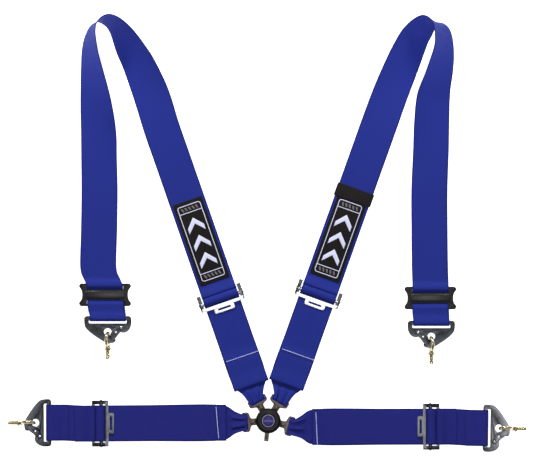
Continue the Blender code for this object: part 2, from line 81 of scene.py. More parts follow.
HEM_LINES = {
    "shoulder_left": ((226.4, 361.8), (257.8, 351.1)),
    "shoulder_right": ((282.3, 348.8), (314.4, 360.3)),
    "lap_left": ((216.0, 406.6), (218.7, 438.3)),
    "lap_right": ((315.8, 411.9), (317.4, 444.6)),
}
# sideways drift (slider frame u, millimetres along X) of the webbing through each slider, and the end of the upper strap
DRIFT = {
    "shoulder_left": [(-60.0, -14.0), (-40.0, -10.5), (-28.0, -4.5), (-20.0, -0.8), (-10.0, -0.2), (10.0, 0.1), (20.0, 0.8), (46.0, 5.0)],
    "shoulder_right": [(-60.0, -1.0), (-40.0, 0.0), (-22.0, 0.4), (-10.0, 0.3), (10.0, -0.3), (20.0, -0.2), (49.0, 1.6)],
}
ENDING = {
    "shoulder_left": [(-54.0, Z2, -13.4), (-40.0, Z2, -10.5), (-28.0, Z2, -4.5), (-20.0, Z2, -1.0), (-8.0, Z2, -0.3), (12.0, Z2 - 0.2, 0.3), (20.0, 3.2, 0.8)],
    "shoulder_right": [(-54.0, Z2, -0.6), (-40.0, Z2, 0.0), (-22.0, Z2, 0.4), (-8.0, Z2, 0.2), (12.0, Z2 - 0.2, -0.3), (20.0, 3.2, 0.0)],
}
LEFT_LOOP = [
    ((134, 100, 5), (168, 88, 12)), ((123, 68, 6), (153, 57, 38)), ((117, 54, 8), (145, 45, 49)),
    ((113, 42, 11), (136, 33, 64)), ((110, 33, 14), (127, 23.5, 75)), ((107, 28, 16), (118, 17, 81)),
    ((103, 24.5, 18), (109, 14.5, 87)), ((98.5, 22.5, 18), (101, 18, 90)), ((94, 23.5, 16), (97.2, 23.5, 88)),
    ((89, 28, 12), (96, 30, 83)), ((84.5, 38, 8), (96.5, 39, 76)), ((82, 50, 5), (98.5, 51, 69)),
    ((81, 68, 3), (103, 68, 60)), ((80.5, 90, 2), (109, 90, 47)), ((80.5, 110, 2), (113.5, 111, 31)),
    ((81, 132, 2), (116.5, 134, 14)), ((81.2, 158, 2.5), (117, 160, 4)), ((81.5, 190, 3), (117.7, 190, 3)),
    ((81.0, 230, 3.8), (117.2, 230, 3.8))]
RIGHT_LOOP = [
    ((407, 100, 5), (373.5, 88, 12)), ((419, 68, 6), (387, 57, 32)), ((424, 54, 8), (393, 45, 41)),
    ((428.5, 42, 11), (400.5, 32, 52)), ((431.5, 36.5, 14), (408, 23.5, 62)), ((433.5, 32, 16), (416, 17.5, 72)),
    ((435, 28.5, 18), (423, 15.5, 81)), ((437, 25, 18), (428.5, 18, 87)), ((440, 23, 17), (432, 22.5, 88)),
    ((445, 24.5, 14), (433.8, 28, 82)), ((449.5, 29, 10), (434.5, 35, 75)), ((452.5, 38, 6), (434, 45, 67)),
    ((454, 54, 4), (430.5, 57, 59)), ((453, 72, 2), (424.5, 74, 46)), ((450.3, 92, 2), (417, 94, 31)),
    ((449.3, 120, 2), (414, 122, 14)), ((448.8, 150, 2.5), (413, 150, 4)), ((447.5, 190, 3), (411.3, 190, 3)),
    ((447.6, 230, 3.8), (411.4, 230, 3.8))]


# ------------------------------------------------------------------ materials
def srgb(r, g, b):
    def f(c):
        c /= 255.0
        return c / 12.92 if c <= 0.04045 else ((c + 0.055) / 1.055) ** 2.4
    return (f(r), f(g), f(b), 1.0)


class Nodes:
    def __init__(self, name):
        self.mat = bpy.data.materials.new(name)
        self.mat.use_nodes = True
        self.t = self.mat.node_tree
        self.b = self.t.nodes["Principled BSDF"]

    def new(self, kind, **settings):
        n = self.t.nodes.new(kind)
        for k, v in settings.items():
            setattr(n, k, v)
        return n

    def link(self, a, b):
        self.t.links.new(a, b)

    def math(self, op, a, b=None, clamp=False):
        n = self.new("ShaderNodeMath", operation=op)
        n.use_clamp = clamp
        for i, v in enumerate((a, b)):
            if v is None:
                continue
            if isinstance(v, (int, float)):
                n.inputs[i].default_value = v
            else:
                self.link(v, n.inputs[i])
        return n.outputs[0]

    def mix(self, fac, a, b):
        n = self.new("ShaderNodeMix", data_type="RGBA")
        for i, v in ((0, fac), (6, a), (7, b)):
            if isinstance(v, (int, float, tuple)):
                n.inputs[i].default_value = v
            else:
                self.link(v, n.inputs[i])
        return n.outputs[2]

    def ramp(self, fac, lo, hi, a, b):
        n = self.new("ShaderNodeMapRange")
        self.link(fac, n.inputs[0])
        for i, v in enumerate((lo, hi, a, b)):
            n.inputs[i + 1].default_value = v
        return n.outputs[0]

    def noise(self, scale, detail=3.0, vector=None, stretch=None):
        tc = self.new("ShaderNodeTexCoord").outputs["Object"] if vector is None else vector
        if stretch:
            m = self.new("ShaderNodeMapping")
            m.inputs["Scale"].default_value = stretch
            self.link(tc, m.inputs[0])
            tc = m.outputs[0]
        n = self.new("ShaderNodeTexNoise")
        n.inputs["Scale"].default_value = scale
        n.inputs["Detail"].default_value = detail
        self.link(tc, n.inputs["Vector"])
        return n.outputs[0]

    def bump(self, height, strength, distance):
        n = self.new("ShaderNodeBump")
        n.inputs["Strength"].default_value = strength
        n.inputs["Distance"].default_value = distance
        self.link(height, n.inputs["Height"])
        self.link(n.outputs[0], self.b.inputs["Normal"])


def webbing(name, deep, light, rough=0.62):
    """Woven polyester webbing: lengthwise ribs, a herringbone pick, darker selvedges, soft colour drift."""
    m = Nodes(name)
    at = m.new("ShaderNodeAttribute", attribute_name="wuv")
    sep = m.new("ShaderNodeSeparateXYZ")
    m.link(at.outputs["Vector"], sep.inputs[0])
    u, v = sep.outputs[0], sep.outputs[1]
    rib = m.math("SINE", m.math("MULTIPLY", v, 2 * math.pi / 0.0016))
    tri = m.math("PINGPONG", v, 0.0045)
    pick = m.math("SINE", m.math("MULTIPLY", m.math("ADD", u, m.math("MULTIPLY", tri, 0.9)), 2 * math.pi / 0.0018))
    weave = m.math("ADD", m.math("MULTIPLY", rib, 0.5), m.math("MULTIPLY", pick, 0.5))
    weave01 = m.ramp(weave, -1, 1, 0, 1)
    edge = m.math("ABSOLUTE", v)
    selv = m.ramp(edge, 0.0325, 0.0352, 0, 1)
    drift = m.ramp(m.noise(9.0, 4.0), 0.3, 0.7, 0, 1)
    fuzz = m.ramp(m.noise(700.0, 2.0), 0.3, 0.7, 0, 1)
    c = m.mix(weave01, deep, light)
    c2 = m.mix(m.math("MULTIPLY", drift, 0.35), c, tuple(x * 0.72 for x in light[:3]) + (1,))
    c3 = m.mix(m.math("MULTIPLY", selv, 0.45), c2, tuple(x * 0.45 for x in deep[:3]) + (1,))
    m.link(c3, m.b.inputs["Base Color"])
    m.link(m.ramp(fuzz, 0, 1, rough - 0.1, rough + 0.12), m.b.inputs["Roughness"])
    m.b.inputs["Sheen Weight"].default_value = 0.03
    m.b.inputs["Sheen Roughness"].default_value = 0.4
    m.b.inputs["Sheen Tint"].default_value = (0.45, 0.55, 1.0, 1.0)
    m.b.inputs["Specular IOR Level"].default_value = 0.04
    m.bump(m.math("ADD", weave01, m.math("MULTIPLY", selv, 0.6)), 0.5, 0.0004)
    return m.mat


def metal(name, colour, rough, spread=0.08, brushed=0.0, dirt=0.25, scale=60.0, bump=0.0001, metallic=1.0):
    """Plated metal with fine handling marks: rough and colour vary."""
    m = Nodes(name)
    n1 = m.ramp(m.noise(scale, 5.0), 0.35, 0.65, 0, 1)
    n2 = m.ramp(m.noise(scale * 7, 3.0, stretch=(1, 1 + brushed * 20, 1)), 0.3, 0.7, 0, 1)
    dark = tuple(x * (1 - dirt) for x in colour[:3]) + (1,)
    m.link(m.mix(n1, dark, colour), m.b.inputs["Base Color"])
    m.link(m.ramp(m.math("ADD", m.math("MULTIPLY", n1, 0.5), m.math("MULTIPLY", n2, 0.5)), 0, 1,
                  max(0.03, rough - spread), rough + spread), m.b.inputs["Roughness"])
    m.b.inputs["Metallic"].default_value = metallic
    m.bump(n2, 0.25, bump)
    return m.mat


def plain(name, colour, rough, scale=900.0, strength=0.3, spec=0.5):
    m = Nodes(name)
    n = m.ramp(m.noise(scale, 3.0), 0.3, 0.7, 0, 1)
    m.link(m.mix(n, tuple(x * 0.8 for x in colour[:3]) + (1,), colour), m.b.inputs["Base Color"])
    m.link(m.ramp(n, 0, 1, rough - 0.06, rough + 0.08), m.b.inputs["Roughness"])
    m.b.inputs["Specular IOR Level"].default_value = spec
    m.bump(n, strength, 0.0002)
    return m.mat


M_SH = webbing("web_shoulder", srgb(27, 35, 113), srgb(45, 58, 152))
M_LAP = webbing("web_lap", srgb(28, 32, 99), srgb(45, 49, 137))
M_PATCH = plain("patch_cloth", srgb(24, 20, 20), 0.85, 1400, 0.6, 0.2)
M_ELASTIC = plain("elastic_cloth", srgb(26, 22, 23), 0.8, 800, 0.6, 0.25)
M_GREYT = plain("thread_grey", srgb(112, 106, 112), 0.7, 1500, 0.4, 0.3)
M_WHITE = plain("thread_white", srgb(226, 228, 255), 0.7, 1500, 0.4, 0.3)
M_THREAD = plain("thread_hem", srgb(200, 206, 255), 0.7, 1500, 0.4, 0.3)
M_BLUET = plain("thread_blue", srgb(26, 30, 96), 0.7, 1500, 0.4, 0.3)
M_CHROME = metal("chrome_plate", (0.40, 0.41, 0.43, 1), 0.15, 0.06, 0.2, 0.2)
M_LAPADJ = metal("lap_plate", (0.085, 0.088, 0.097, 1), 0.2, 0.08, 0.3, 0.4)
# painted shade: darker copies of the adjuster metal for the side walls and side strips of the frame, standing in for
# the shade on those faces
M_WALL_SHADE = metal("wall_plate_painted_shade", (0.05, 0.052, 0.058, 1), 0.18, 0.08, 0.3, 0.3)
M_EAR_SHADE = metal("ear_plate_painted_shade", (0.024, 0.025, 0.028, 1), 0.2, 0.08, 0.3, 0.3)
# painted light: a lighter copy of the hook steel, used on the lap_right hook only, standing in for the light that hook
# catches
M_HOOK_LIT = metal("hook_plate_painted_light", (0.17, 0.175, 0.19, 1), 0.32, 0.1, 0.4, 0.3)
M_RIVET = metal("rivet_plate", (0.7, 0.7, 0.72, 1), 0.2)
M_STEEL = metal("hook_plate", (0.062, 0.066, 0.074, 1), 0.32, 0.1, 0.4, 0.35)
M_ZINC = metal("yellow_zinc", (0.72, 0.63, 0.43, 1), 0.22, 0.08, 0.2, 0.5, 120)
M_BLACK = plain("black_coat", srgb(10, 7, 8), 0.4, 300, 0.15, 0.2)
M_BAR = plain("black_gloss", srgb(14, 7, 6), 0.36, 300, 0.08, 0.4)
M_CAP = plain("cap_black", srgb(15, 11, 11), 0.36, 260, 0.1, 0.16)
M_LENS = plain("cap_flat", srgb(9, 7, 8), 0.3, 200, 0.05, 0.2)
M_BRONZE = metal("tongue_plate", (0.075, 0.06, 0.056, 1), 0.3, 0.08, 0.3, 0.3)
M_ENAMEL = plain("badge_enamel", srgb(30, 25, 96), 0.3, 500, 0.05, 0.15)
M_BAND = plain("badge_band", srgb(84, 78, 142), 0.35, 500, 0.05, 0.15)
M_RING = plain("badge_ring", srgb(150, 143, 180), 0.3, 500, 0.05, 0.3)
M_SPRING = metal("spring_wire", (0.5, 0.5, 0.52, 1), 0.3)


# ------------------------------------------------------------------ geometry helpers (millimetres, then frames)
def mm(*v):
    return Vector(v) * 0.001


def plan(gx, gy, z=0.0):
    return mm((gx - AX) * GRID, (AY - gy) * GRID, z)


def frame_at(origin, angle, z=0.0):
    return (Matrix.Translation(Vector((origin[0], origin[1], z)))
            @ Matrix.Rotation(math.radians(angle), 4, "Z") @ Matrix.Scale(0.001, 4))


def put(name, mesh, mat, matrix=Matrix(), bevel=0.0, segments=2, smooth=35):
    mesh = mesh.copy()
    if bevel:
        tmp = bpy.data.objects.new("tmp", mesh)
        bpy.context.scene.collection.objects.link(tmp)
        md = tmp.modifiers.new("b", "BEVEL")
        md.width = bevel
        md.segments = segments
        md.limit_method = "ANGLE"
        md.angle_limit = math.radians(40)
        bpy.context.view_layer.update()
        mesh = bpy.data.meshes.new_from_object(tmp.evaluated_get(bpy.context.evaluated_depsgraph_get()))
        bpy.data.objects.remove(tmp, do_unlink=True)
    mesh.transform(matrix)
    if matrix.to_3x3().determinant() < 0:
        mesh.flip_normals()
    obj = bpy.data.objects.new(name, mesh)
    bpy.context.scene.collection.objects.link(obj)
    index = [f.material_index for f in mesh.polygons]
    mesh.materials.clear()
    if isinstance(mat, (list, tuple)):
        for m in mat:
            mesh.materials.append(m)
        for f, k in zip(mesh.polygons, index):
            f.material_index = k
    else:
        mesh.materials.append(mat)
    mesh.shade_smooth()
    mesh.set_sharp_from_angle(angle=math.radians(smooth))
    return obj


def evaluated(obj):
    bpy.context.view_layer.update()
    mesh = bpy.data.meshes.new_from_object(obj.evaluated_get(bpy.context.evaluated_depsgraph_get()))
    mesh.transform(obj.matrix_world)
    bm = bmesh.new()
    bm.from_mesh(mesh)
    bmesh.ops.remove_doubles(bm, verts=bm.verts, dist=1e-4)
    bmesh.ops.recalc_face_normals(bm, faces=bm.faces)
    bm.to_mesh(mesh)
    bm.free()
    bpy.data.objects.remove(obj, do_unlink=True)
    return mesh


def boolean(mesh, *tools):
    base = bpy.data.objects.new("base", mesh)
    bpy.context.scene.collection.objects.link(base)
    helpers = []
    for operation, tool in tools:
        helper = bpy.data.objects.new("tool", tool)
        bpy.context.scene.collection.objects.link(helper)
        helpers.append(helper)
        mod = base.modifiers.new("cut", "BOOLEAN")
        mod.operation, mod.solver, mod.object = operation, "EXACT", helper
    out = evaluated(base)
    for helper in helpers:
        bpy.data.objects.remove(helper, do_unlink=True)
    return out


def merged(*meshes):
    bm = bmesh.new()
    for m in meshes:
        bm.from_mesh(m)
    out = bpy.data.meshes.new("merged")
    bm.to_mesh(out)
    bm.free()
    return out


def box(lo, hi, bevel=0.0, seg=2):
    bm = bmesh.new()
    bmesh.ops.create_cube(bm, size=1.0)
    for v in bm.verts:
        v.co = Vector([lo[i] + (v.co[i] + 0.5) * (hi[i] - lo[i]) for i in range(3)])
    if bevel:
        bmesh.ops.bevel(bm, geom=bm.edges[:], offset=bevel, segments=seg, affect="EDGES", profile=0.5)
    mesh = bpy.data.meshes.new("box")
    bm.to_mesh(mesh)
    bm.free()
    return mesh


def rod(p0, p1, r, sides=28):
    p0, p1 = Vector(p0), Vector(p1)
    bm = bmesh.new()
    bmesh.ops.create_cone(bm, cap_ends=True, segments=sides, radius1=r, radius2=r, depth=(p1 - p0).length)
    turn = (p1 - p0).to_track_quat("Z", "Y").to_matrix().to_4x4()
    bmesh.ops.transform(bm, matrix=Matrix.Translation((p0 + p1) / 2) @ turn, verts=bm.verts)
    mesh = bpy.data.meshes.new("rod")
    bm.to_mesh(mesh)
    bm.free()
    return mesh


def turned(profile, steps=72):
    mesh = bpy.data.meshes.new("turned")
    mesh.from_pydata([(r, 0.0, z) for r, z in profile], [(i, i + 1) for i in range(len(profile) - 1)], [])
    obj = bpy.data.objects.new("turned", mesh)
    bpy.context.scene.collection.objects.link(obj)
    mod = obj.modifiers.new("screw", "SCREW")
    mod.steps = mod.render_steps = steps
    mod.use_merge_vertices = True
    mod.merge_threshold = 0.0001
    return evaluated(obj)


def torus(major, minor, n1=56, n2=18):
    bpy.ops.mesh.primitive_torus_add(major_radius=major, minor_radius=minor, major_segments=n1, minor_segments=n2)
    obj = bpy.context.object
    mesh = obj.data.copy()
    bpy.data.objects.remove(obj, do_unlink=True)
    return mesh


def plate(loops, z0, z1):
    curve = bpy.data.curves.new("outline", "CURVE")
    curve.dimensions = "2D"
    curve.fill_mode = "BOTH"
    curve.extrude = (z1 - z0) / 2
    for loop in loops:
        spline = curve.splines.new("POLY")
        spline.points.add(len(loop) - 1)
        for point, (x, y) in zip(spline.points, loop):
            point.co = (x, y, 0, 1)
        spline.use_cyclic_u = True
    obj = bpy.data.objects.new("outline", curve)
    bpy.context.scene.collection.objects.link(obj)
    obj.location.z = (z0 + z1) / 2
    mesh = evaluated(obj)
    bm = bmesh.new()
    bm.from_mesh(mesh)
    bmesh.ops.dissolve_limit(bm, angle_limit=math.radians(1), verts=bm.verts, edges=bm.edges)
    bm.to_mesh(mesh)
    bm.free()
    return mesh


def arc(cx, cy, r, a0, a1, n):
    return [(cx + r * math.cos(math.radians(a0 + (a1 - a0) * i / n)),
             cy + r * math.sin(math.radians(a0 + (a1 - a0) * i / n))) for i in range(n + 1)]


def rounded(x0, y0, x1, y1, r, n=6):
    return (arc(x1 - r, y1 - r, r, 0, 90, n) + arc(x0 + r, y1 - r, r, 90, 180, n)
            + arc(x0 + r, y0 + r, r, 180, 270, n) + arc(x1 - r, y0 + r, r, 270, 360, n))


def across(fr, u, z, w=WEB_W):
    return (fr @ Vector((u, w / 2, z)), fr @ Vector((u, -w / 2, z)))


def bend(cu, cz, r, a0, a1, n):
    return [(cu + r * math.cos(math.radians(a0 + (a1 - a0) * i / n)),
             cz + r * math.sin(math.radians(a0 + (a1 - a0) * i / n))) for i in range(n + 1)]


def catmull(points, step):
    """Centripetal Catmull-Rom through pairs, resampled about every step metres of the middle line."""
    mids = [(a + b) / 2 for a, b in points]
    out = []
    n = len(points)
    for i in range(n - 1):
        p = [points[max(i - 1, 0)], points[i], points[i + 1], points[min(i + 2, n - 1)]]
        length = max((mids[i + 1] - mids[i]).length, (points[i + 1][0] - points[i][0]).length,
                     (points[i + 1][1] - points[i][1]).length)
        k = max(1, int(round(length / step)))
        side = []
        for e in (0, 1):
            q = [Vector(x[e]) for x in p]
            if i == 0:
                q[0] = q[1] * 2 - q[2]
            if i == n - 2:
                q[3] = q[2] * 2 - q[1]
            t = [0.0]
            for j in range(3):
                t.append(t[-1] + max((q[j + 1] - q[j]).length, 1e-6) ** 0.5)
            row = []
            for s in range(k):
                x = t[1] + (t[2] - t[1]) * s / k
                a1 = q[0] * ((t[1] - x) / (t[1] - t[0])) + q[1] * ((x - t[0]) / (t[1] - t[0]))
                a2 = q[1] * ((t[2] - x) / (t[2] - t[1])) + q[2] * ((x - t[1]) / (t[2] - t[1]))
                a3 = q[2] * ((t[3] - x) / (t[3] - t[2])) + q[3] * ((x - t[2]) / (t[3] - t[2]))
                b1 = a1 * ((t[2] - x) / (t[2] - t[0])) + a2 * ((x - t[0]) / (t[2] - t[0]))
                b2 = a2 * ((t[3] - x) / (t[3] - t[1])) + a3 * ((x - t[1]) / (t[3] - t[1]))
                row.append(b1 * ((t[2] - x) / (t[2] - t[1])) + b2 * ((x - t[1]) / (t[2] - t[1])))
            side.append(row)
        out += list(zip(*side))
    out.append((Vector(points[-1][0]), Vector(points[-1][1])))
    return out


COLS = [-1, -0.985, -0.95, -0.8, -0.6, -0.4, -0.2, 0, 0.2, 0.4, 0.6, 0.8, 0.95, 0.985, 1]
EDGE = [0.25, 0.7, 1, 1, 1, 1, 1, 1, 1, 1, 1, 1, 1, 0.7, 0.25]


def strap_mesh(name, pairs, thick=1.7, step=0.0035, pleat=1.0, bow=0.0, seed=0):
    """Webbing as a closed strip with rounded selvedges; where it is squeezed narrow it gathers in pleats."""
    rows = catmull(pairs, step)
    mids = [(a + b) / 2 for a, b in rows]
    n = len(rows)
    dist = [0.0]
    for i in range(1, n):
        dist.append(dist[-1] + (mids[i] - mids[i - 1]).length)
    top, bottom, wuv = [], [], []
    steep = [abs((mids[min(i + 1, n - 1)] - mids[max(i - 1, 0)]).normalized().z) for i in range(n)]
    calm = []
    for i in range(n):
        near_rows = [max(0.1, 1 - steep[k] * 1.1) for k in range(n) if abs(dist[k] - dist[i]) < 0.014]
        calm.append(sum(near_rows) / len(near_rows))
    for i, (a, b) in enumerate(rows):
        c = (a - b)
        w = c.length
        c = c.normalized()
        t = (mids[min(i + 1, n - 1)] - mids[max(i - 1, 0)]).normalized()
        squeeze = max(0.0, 1 - w / (WEB_W * 0.001))
        up, lo, uv = [], [], []
        for j, f in enumerate(COLS):
            p = (a + b) / 2 + (a - b) / 2 * f
            # surface direction from the ruled strip itself, so that a twisting strap shades correctly
            p0 = rows[max(i - 1, 0)]
            p1 = rows[min(i + 1, n - 1)]
            tt = (((p1[0] + p1[1]) / 2 + (p1[0] - p1[1]) / 2 * f) - ((p0[0] + p0[1]) / 2 + (p0[0] - p0[1]) / 2 * f))
            if tt.length < 1e-9:
                tt = t
            nn = c.cross(tt.normalized()).normalized()
            lift = 0.0
            if pleat and squeeze > 0.02:
                fold = math.cos(f * math.pi * 2.7 + seed * 1.3 + dist[i] * 22) + 0.5 * math.cos(f * math.pi * 5.2 - dist[i] * 30 + seed)
                free = min(1.0, max(0.0, (mids[i].z - 0.0024) / 0.002))
                lift += min(1.0, squeeze * 2.4) * free * (0.0027 * fold + 0.0022 * (1 - f * f)) * pleat
            lift += bow * 0.001 * (1 - f * f)
            lift += 0.00015 * noise.noise(Vector((dist[i] * 22 + seed, f * 1.6, seed)))
            lift *= calm[i] * (1 - 0.95 * steep[i] ** 2)
            p = p + nn * lift
            h = thick * 0.0005 * EDGE[j]
            up.append(p + nn * h)
            lo.append(p - nn * h)
            uv.append((dist[i], f * WEB_W * 0.0005, 0))
        top.append(up)
        bottom.append(lo)
        wuv.append(uv)
    m = len(COLS)
    verts = [v for r in top for v in r] + [v for r in bottom for v in r]
    attr = [v for r in wuv for v in r] * 2
    off = n * m
    faces = []
    for i in range(n - 1):
        for j in range(m - 1):
            q = (i * m + j, i * m + j + 1, (i + 1) * m + j + 1, (i + 1) * m + j)
            faces.append(q)
            faces.append(tuple(off + x for x in reversed(q)))
        for j, rev in ((0, False), (m - 1, True)):
            q = (i * m + j, (i + 1) * m + j, off + (i + 1) * m + j, off + i * m + j)
            faces.append(tuple(reversed(q)) if rev else q)
    for i, rev in ((0, True), (n - 1, False)):
        for j in range(m - 1):
            q = (i * m + j, i * m + j + 1, off + i * m + j + 1, off + i * m + j)
            faces.append(tuple(reversed(q)) if not rev else q)
    mesh = bpy.data.meshes.new(name)
    mesh.from_pydata([tuple(v) for v in verts], [], faces)
    bm = bmesh.new()
    bm.from_mesh(mesh)
    bmesh.ops.recalc_face_normals(bm, faces=bm.faces)
    bm.to_mesh(mesh)
    bm.free()
    layer = mesh.attributes.new("wuv", "FLOAT_VECTOR", "POINT")
    layer.data.foreach_set("vector", [x for v in attr for x in v])
    return mesh


def strap(name, pairs, mat, **kw):
    mesh = strap_mesh(name, pairs, **kw)
    obj = bpy.data.objects.new(name, mesh)
    bpy.context.scene.collection.objects.link(obj)
    mesh.materials.append(mat)
    mesh.shade_smooth()
    mesh.set_sharp_from_angle(angle=math.radians(50))
    return obj


def stitches(name, fr, lines, z, mat, pitch=4.4, length=3.4, width=0.9, height=0.5):
    """A row of thread stitches along each line of (u, v) points, sunk into the webbing."""
    parts = []
    for line in lines:
        for (x0, y0), (x1, y1) in zip(line[:-1], line[1:]):
            d = math.hypot(x1 - x0, y1 - y0)
            k = max(1, int(d / pitch))
            for i in range(k):
                t = (i + 0.5) / k
                x, y = x0 + (x1 - x0) * t, y0 + (y1 - y0) * t
                s = box((-length / 2, -width / 2, -0.25), (length / 2, width / 2, height), 0.22, 2)
                s.transform(Matrix.Translation((x, y, z)) @ Matrix.Rotation(math.atan2(y1 - y0, x1 - x0), 4, "Z"))
                parts.append(s)
    return put(name, merged(*parts), mat, fr, smooth=60)


# ------------------------------------------------------------------ buckle
def polar(r, a):
    return (r * math.cos(math.radians(a)), r * math.sin(math.radians(a)))


buckle = frame_at((0, 0), 0)
SCREWS = [(21.4, a) for a in (89.5, 225.0, 305.0)]


def dress(names, mat):
    for n in names:
        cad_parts[n].material_slots[0].material = mat


dress(["buckle_base", "buckle_pivot", "cam_plate", "buckle_screw_1", "buckle_screw_2", "buckle_screw_3", "tongue_rivet"], M_LAPADJ)
dress(["latch_spring", "return_spring"], M_SPRING)

housing = turned([(5.6, 15.0), (23.2, 15.0), (24.2, 14.6), (24.6, 13.6), (24.6, 8.8), (24.2, 8.4), (24.6, 8.0), (24.6, 2.8),
                  (19.2, 2.8), (19.2, 12.8), (5.6, 12.8), (5.6, 15.0)], 96)
cuts = []
for g in GROUPS.values():
    port = box((10, -NECK_W / 2 - 0.5, TONGUE_Z0 - 0.5), (30, NECK_W / 2 + 0.5, TONGUE_Z0 + PLATE_T + 0.5))
    port.transform(Matrix.Rotation(math.radians(g["port"]), 4, "Z"))
    cuts.append(("DIFFERENCE", port))
cuts += [("DIFFERENCE", rod((*polar(*s), 2), (*polar(*s), 11), 1.5, 16)) for s in SCREWS]
o = put("v_housing", boolean(housing, *cuts), M_CAP, buckle)
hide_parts("buckle_housing")
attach(o, "buckle")

cap = turned([(0, 24.0), (13.0, 24.0), (13.0, 25.2), (13.3, 25.8), (13.9, 26.1), (19.0, 26.1), (21.0, 25.8), (22.6, 25.1),
              (23.9, 24.0), (24.8, 22.6), (25.2, 21.0), (25.2, 16.2), (25.0, 15.6), (24.6, 15.4), (23.0, 15.4), (23.0, 20.2),
              (0, 20.2)], 120)
lever_cut = box((18, -4.9, 15), (30, 4.9, 20.0))
lever_cut.transform(Matrix.Rotation(math.radians(264.0), 4, "Z"))
flat = box((-30, 15.6, 24.6), (30, 30, 30))
notches = []
for k in range(20):
    a = 264.0 + 18.0 * k
    if abs(((a - 264 + 180) % 360) - 180) < 30 or abs(((a - 90 + 180) % 360) - 180) < 38:
        continue
    notches.append(("DIFFERENCE", rod((*polar(26.6, a), 14), (*polar(26.6, a), 27.5), 1.9, 20)))
cap = boolean(cap, ("DIFFERENCE", lever_cut), ("DIFFERENCE", flat), *notches)
o = put("v_release_cap", cap, M_CAP, buckle, bevel=0.25)
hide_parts("release_cap")
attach(o, "dial")
inlay = plate([[polar(23.2, a) for a in range(45, 136, 5)]], 24.0, 24.75)
inlay = boolean(inlay, ("INTERSECT", box((-30, 16.1, 20), (30, 30, 30))))
o = put("v_cap_inlay", inlay, M_LENS, buckle, bevel=0.12)
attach(o, "dial")

lever_outline = [(6.5, -4.3), (20, -4.3), (38.0, -4.5)] + arc(39.2, -2.7, 1.9, -85, 0, 6) + arc(39.2, 2.7, 1.9, 0, 85, 6) + [(38.0, 4.5), (20, 4.3), (6.5, 4.3)]
lever = boolean(plate([lever_outline], 15.8, 19.6), ("DIFFERENCE", rod((0, 0, 10), (0, 0, 30), 7.5)),
                ("DIFFERENCE", rod((36.8, 0, 19.1), (36.8, 0, 22), 2.3, 28)))
turn = Matrix.Rotation(math.radians(264.0), 4, "Z")
o = put("v_release_lever", lever, M_BRONZE, buckle @ turn, bevel=0.6, segments=3)
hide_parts("release_lever")
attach(o, "dial")
for i, x in enumerate((28.0, 30.4, 32.8)):
    o = put(f"v_lever_grip_{i + 1}", box((x - 0.55, -2.6, 19.2), (x + 0.55, 2.6, 20.0), 0.3), M_BRONZE, buckle @ turn)
    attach(o, "dial")

ring = turned([(11.1, 25.2), (11.1, 26.3), (11.4, 26.6), (12.1, 26.6), (12.5, 26.1), (12.5, 24.3), (11.6, 24.3), (11.1, 25.2)], 96)
field = turned([(0, 26.0), (10.6, 26.0), (11.3, 25.8), (11.3, 24.3), (0, 24.3)], 80)
o = put("v_badge_ring", ring, M_RING, buckle)
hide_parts("badge")
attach(o, "dial")
o = put("v_badge_field", field, M_ENAMEL, buckle)
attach(o, "dial")
band = boolean(box((-12, -2.6, 25.4), (12, 2.2, 26.25)), ("INTERSECT", rod((0, 0, 20), (0, 0, 30), 10.4, 80)))
o = put("v_badge_band", band, M_BAND, buckle, bevel=0.12)
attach(o, "dial")
for i, (y, w) in enumerate(((5.6, 6.4), (-6.2, 5.6))):
    bar = box((-w / 2, y - 0.45, 25.4), (w / 2, y + 0.45, 26.2), 0.15)
    o = put(f"v_badge_bar_{i + 1}", bar, M_BAND, buckle)
    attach(o, "dial")

# ------------------------------------------------------------------ metal parts shared by the four straps
HW = TONGUE_W / 2
ZC = TONGUE_Z0 + PLATE_T / 2
t_out = ([(13.4, -3.6), (15.2, -5.9), (17.0, -NECK_W / 2), (31.5, -NECK_W / 2)] + arc(31.5, -NECK_W / 2 - 4, 4, 90, 30, 8)[1:]
         + [(36.2, -13.0), (37.0, -15.8), (38.4, -18.2), (39.8, -HW + 0.5), (41.4, -HW)] + arc(BAR_X1 - 2.4, -HW + 2.4, 2.4, 270, 360, 6))
t_out = t_out + [(x, -y) for x, y in reversed(t_out)]
tongue = plate([t_out, rounded(15.4, -3.2, 19.4, 3.2, 0.8, 6), rounded(41.7, -16.8, BAR_X0, 16.8, 1.2, 6)],
               TONGUE_Z0, TONGUE_Z0 + PLATE_T)
emboss = plate([rounded(26.6, -3.0, 37.0, 3.0, 2.9, 10)], TONGUE_Z0 + PLATE_T - 0.1, TONGUE_Z0 + PLATE_T + 0.45)

body_plate = plate([rounded(-5.0, -46.0, 28.0, 46.0, 3.0, 10), rounded(1.0, -38.2, 22.0, 38.2, 1.5, 8)], ADJ_LIFT, ADJ_LIFT + ADJ_T)
tab = plate([rounded(-16.0, -21.0, -4.0, 21.0, 3.5, 12), rounded(-11.5, -13.5, -7.5, 13.5, 1.9, 10)], ADJ_LIFT, ADJ_LIFT + ADJ_T)
tools = [("UNION", tab)]
for s in (-1, 1):
    wall = plate([arc(9.5, 12.5, 6, 0, 180, 24) + [(2.6, 10.0), (0.2, 8.0), (-5.0, 6.0), (28.0, 6.0), (20.4, 7.8), (16.6, 10.0)]], -1.0, 1.0)
    wall.transform(Matrix.Translation((0, s * 45.0, 0)) @ Matrix.Rotation(math.radians(90), 4, "X"))
    tools.append(("UNION", wall))
tools.append(("DIFFERENCE", rod((LOCK_U, -60, LOCK_Z), (LOCK_U, 60, LOCK_Z), 2.3, 32)))
adjuster = boolean(body_plate, *tools)
bm = bmesh.new()
bm.from_mesh(adjuster)
for co, no in (((0, 38.6, 0), (0, 1, 0)), ((0, -38.6, 0), (0, 1, 0)), ((2.0, 0, 0), (1, 0, 0))):
    bmesh.ops.bisect_plane(bm, geom=bm.verts[:] + bm.edges[:] + bm.faces[:], plane_co=co, plane_no=no)
bm.to_mesh(adjuster)
bm.free()
